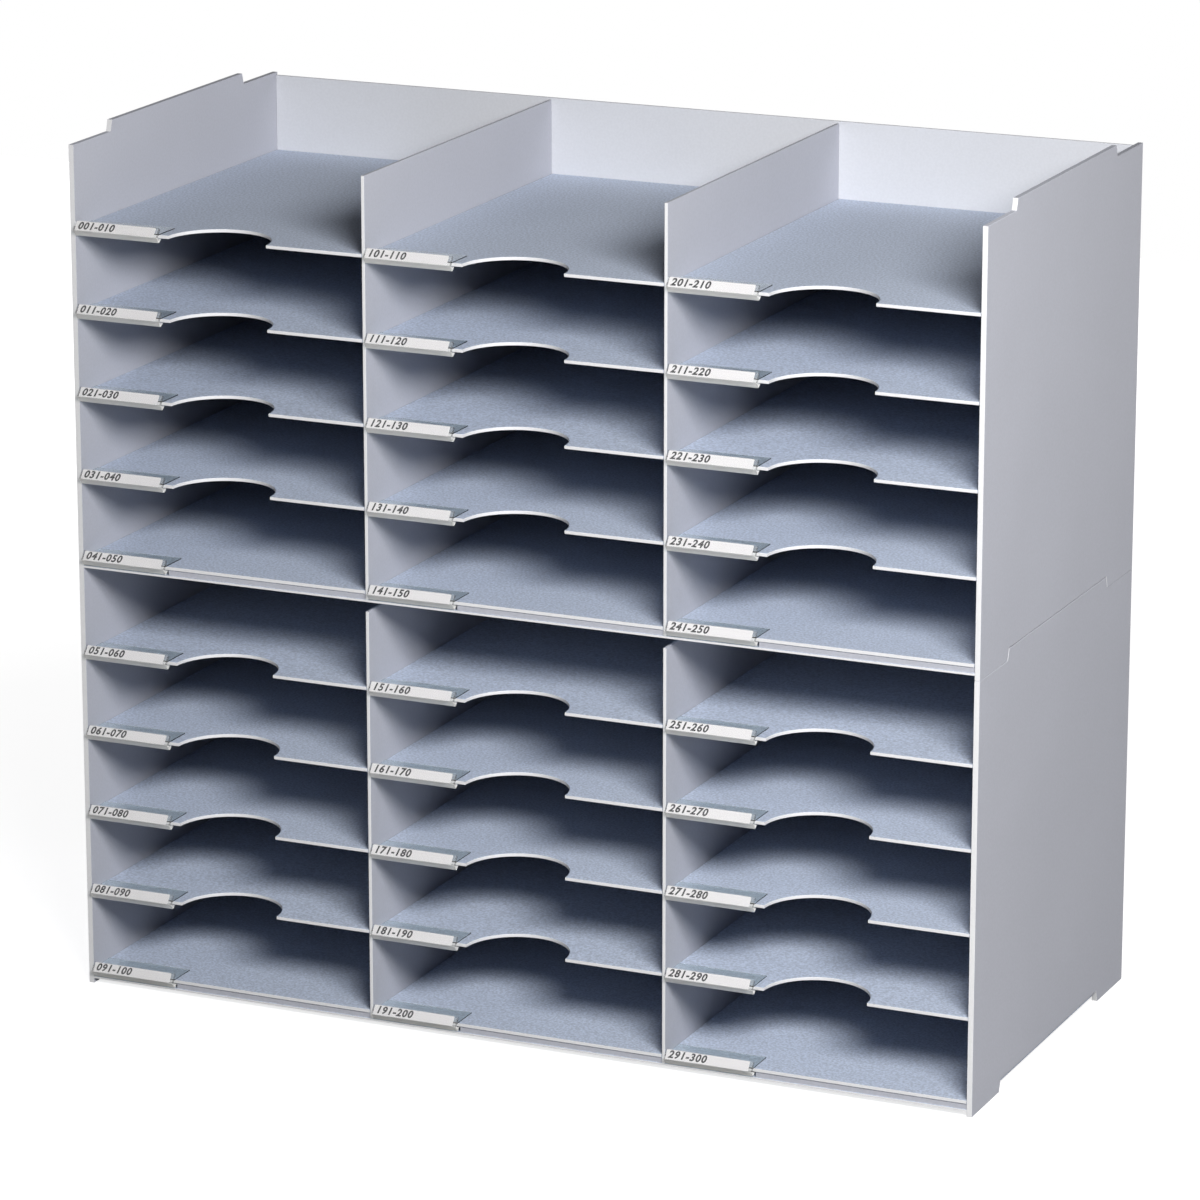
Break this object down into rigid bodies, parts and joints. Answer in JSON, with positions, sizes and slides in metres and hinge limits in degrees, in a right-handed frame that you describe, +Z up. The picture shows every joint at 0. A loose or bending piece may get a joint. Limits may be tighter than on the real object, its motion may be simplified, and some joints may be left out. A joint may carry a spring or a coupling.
{
  "type": "stacking paper sorter",
  "caption": "Open-fronted stacking paper sorter of grey plastic, with columns of flat compartments, loose notched shelves that slide out and clear label holders at their front edges.",
  "frame": {"origin": "on the floor, under the middle of the object's box, level with the underside of the lower module's feet", "axes": "+X to the right seen from the open front, +Y from the open front to the back panel, +Z up"},
  "size_m": [0.674, 0.3136, 0.618],
  "materials": {
    "grey_plastic": "fine grain, matt",
    "shelf_plastic": "speckled grain, matt",
    "label": "clear strip over a white card"
  },
  "bodies": {
    "lower_module": {"lower_left_side": "grey_plastic", "lower_right_side": "grey_plastic", "lower_partitions": "grey_plastic", "lower_back_panel": "grey_plastic", "lower_floor": "shelf_plastic", "lower_floor_labels": "label"},
    "upper_module": {"upper_left_side": "grey_plastic", "upper_right_side": "grey_plastic", "upper_partitions": "grey_plastic", "upper_back_panel": "grey_plastic", "upper_floor": "shelf_plastic", "upper_floor_labels": "label"},
    "lower_left_shelf_1": {"lower_left_shelf_1": "shelf_plastic", "lower_left_label_1": "label"},
    "lower_left_shelf_2": {"lower_left_shelf_2": "shelf_plastic", "lower_left_label_2": "label"},
    "lower_left_shelf_3": {"lower_left_shelf_3": "shelf_plastic", "lower_left_label_3": "label"},
    "lower_left_shelf_4": {"lower_left_shelf_4": "shelf_plastic", "lower_left_label_4": "label"},
    "lower_middle_shelf_1": {"lower_middle_shelf_1": "shelf_plastic", "lower_middle_label_1": "label"},
    "lower_middle_shelf_2": {"lower_middle_shelf_2": "shelf_plastic", "lower_middle_label_2": "label"},
    "lower_middle_shelf_3": {"lower_middle_shelf_3": "shelf_plastic", "lower_middle_label_3": "label"},
    "lower_middle_shelf_4": {"lower_middle_shelf_4": "shelf_plastic", "lower_middle_label_4": "label"},
    "lower_right_shelf_1": {"lower_right_shelf_1": "shelf_plastic", "lower_right_label_1": "label"},
    "lower_right_shelf_2": {"lower_right_shelf_2": "shelf_plastic", "lower_right_label_2": "label"},
    "lower_right_shelf_3": {"lower_right_shelf_3": "shelf_plastic", "lower_right_label_3": "label"},
    "lower_right_shelf_4": {"lower_right_shelf_4": "shelf_plastic", "lower_right_label_4": "label"},
    "upper_left_shelf_1": {"upper_left_shelf_1": "shelf_plastic", "upper_left_label_1": "label"},
    "upper_left_shelf_2": {"upper_left_shelf_2": "shelf_plastic", "upper_left_label_2": "label"},
    "upper_left_shelf_3": {"upper_left_shelf_3": "shelf_plastic", "upper_left_label_3": "label"},
    "upper_left_shelf_4": {"upper_left_shelf_4": "shelf_plastic", "upper_left_label_4": "label"},
    "upper_middle_shelf_1": {"upper_middle_shelf_1": "shelf_plastic", "upper_middle_label_1": "label"},
    "upper_middle_shelf_2": {"upper_middle_shelf_2": "shelf_plastic", "upper_middle_label_2": "label"},
    "upper_middle_shelf_3": {"upper_middle_shelf_3": "shelf_plastic", "upper_middle_label_3": "label"},
    "upper_middle_shelf_4": {"upper_middle_shelf_4": "shelf_plastic", "upper_middle_label_4": "label"},
    "upper_right_shelf_1": {"upper_right_shelf_1": "shelf_plastic", "upper_right_label_1": "label"},
    "upper_right_shelf_2": {"upper_right_shelf_2": "shelf_plastic", "upper_right_label_2": "label"},
    "upper_right_shelf_3": {"upper_right_shelf_3": "shelf_plastic", "upper_right_label_3": "label"},
    "upper_right_shelf_4": {"upper_right_shelf_4": "shelf_plastic", "upper_right_label_4": "label"}
  },
  "joints": [
    {"name": "upper_module_lift", "type": "slide", "parent": "lower_module", "child": "upper_module", "axis": [0, 0, 1], "range_m": [0, 0.1]},
    {"name": "lower_left_shelf_1_slide", "type": "slide", "parent": "lower_module", "child": "lower_left_shelf_1", "axis": [0, -1, 0], "range_m": [0, 0.32]},
    {"name": "lower_left_shelf_2_slide", "type": "slide", "parent": "lower_module", "child": "lower_left_shelf_2", "axis": [0, -1, 0], "range_m": [0, 0.32]},
    {"name": "lower_left_shelf_3_slide", "type": "slide", "parent": "lower_module", "child": "lower_left_shelf_3", "axis": [0, -1, 0], "range_m": [0, 0.32]},
    {"name": "lower_left_shelf_4_slide", "type": "slide", "parent": "lower_module", "child": "lower_left_shelf_4", "axis": [0, -1, 0], "range_m": [0, 0.32]},
    {"name": "lower_middle_shelf_1_slide", "type": "slide", "parent": "lower_module", "child": "lower_middle_shelf_1", "axis": [0, -1, 0], "range_m": [0, 0.32]},
    {"name": "lower_middle_shelf_2_slide", "type": "slide", "parent": "lower_module", "child": "lower_middle_shelf_2", "axis": [0, -1, 0], "range_m": [0, 0.32]},
    {"name": "lower_middle_shelf_3_slide", "type": "slide", "parent": "lower_module", "child": "lower_middle_shelf_3", "axis": [0, -1, 0], "range_m": [0, 0.32]},
    {"name": "lower_middle_shelf_4_slide", "type": "slide", "parent": "lower_module", "child": "lower_middle_shelf_4", "axis": [0, -1, 0], "range_m": [0, 0.32]},
    {"name": "lower_right_shelf_1_slide", "type": "slide", "parent": "lower_module", "child": "lower_right_shelf_1", "axis": [0, -1, 0], "range_m": [0, 0.32]},
    {"name": "lower_right_shelf_2_slide", "type": "slide", "parent": "lower_module", "child": "lower_right_shelf_2", "axis": [0, -1, 0], "range_m": [0, 0.32]},
    {"name": "lower_right_shelf_3_slide", "type": "slide", "parent": "lower_module", "child": "lower_right_shelf_3", "axis": [0, -1, 0], "range_m": [0, 0.32]},
    {"name": "lower_right_shelf_4_slide", "type": "slide", "parent": "lower_module", "child": "lower_right_shelf_4", "axis": [0, -1, 0], "range_m": [0, 0.32]},
    {"name": "upper_left_shelf_1_slide", "type": "slide", "parent": "upper_module", "child": "upper_left_shelf_1", "axis": [0, -1, 0], "range_m": [0, 0.32]},
    {"name": "upper_left_shelf_2_slide", "type": "slide", "parent": "upper_module", "child": "upper_left_shelf_2", "axis": [0, -1, 0], "range_m": [0, 0.32]},
    {"name": "upper_left_shelf_3_slide", "type": "slide", "parent": "upper_module", "child": "upper_left_shelf_3", "axis": [0, -1, 0], "range_m": [0, 0.32]},
    {"name": "upper_left_shelf_4_slide", "type": "slide", "parent": "upper_module", "child": "upper_left_shelf_4", "axis": [0, -1, 0], "range_m": [0, 0.32]},
    {"name": "upper_middle_shelf_1_slide", "type": "slide", "parent": "upper_module", "child": "upper_middle_shelf_1", "axis": [0, -1, 0], "range_m": [0, 0.32]},
    {"name": "upper_middle_shelf_2_slide", "type": "slide", "parent": "upper_module", "child": "upper_middle_shelf_2", "axis": [0, -1, 0], "range_m": [0, 0.32]},
    {"name": "upper_middle_shelf_3_slide", "type": "slide", "parent": "upper_module", "child": "upper_middle_shelf_3", "axis": [0, -1, 0], "range_m": [0, 0.32]},
    {"name": "upper_middle_shelf_4_slide", "type": "slide", "parent": "upper_module", "child": "upper_middle_shelf_4", "axis": [0, -1, 0], "range_m": [0, 0.32]},
    {"name": "upper_right_shelf_1_slide", "type": "slide", "parent": "upper_module", "child": "upper_right_shelf_1", "axis": [0, -1, 0], "range_m": [0, 0.32]},
    {"name": "upper_right_shelf_2_slide", "type": "slide", "parent": "upper_module", "child": "upper_right_shelf_2", "axis": [0, -1, 0], "range_m": [0, 0.32]},
    {"name": "upper_right_shelf_3_slide", "type": "slide", "parent": "upper_module", "child": "upper_right_shelf_3", "axis": [0, -1, 0], "range_m": [0, 0.32]},
    {"name": "upper_right_shelf_4_slide", "type": "slide", "parent": "upper_module", "child": "upper_right_shelf_4", "axis": [0, -1, 0], "range_m": [0, 0.32]}
  ]
}
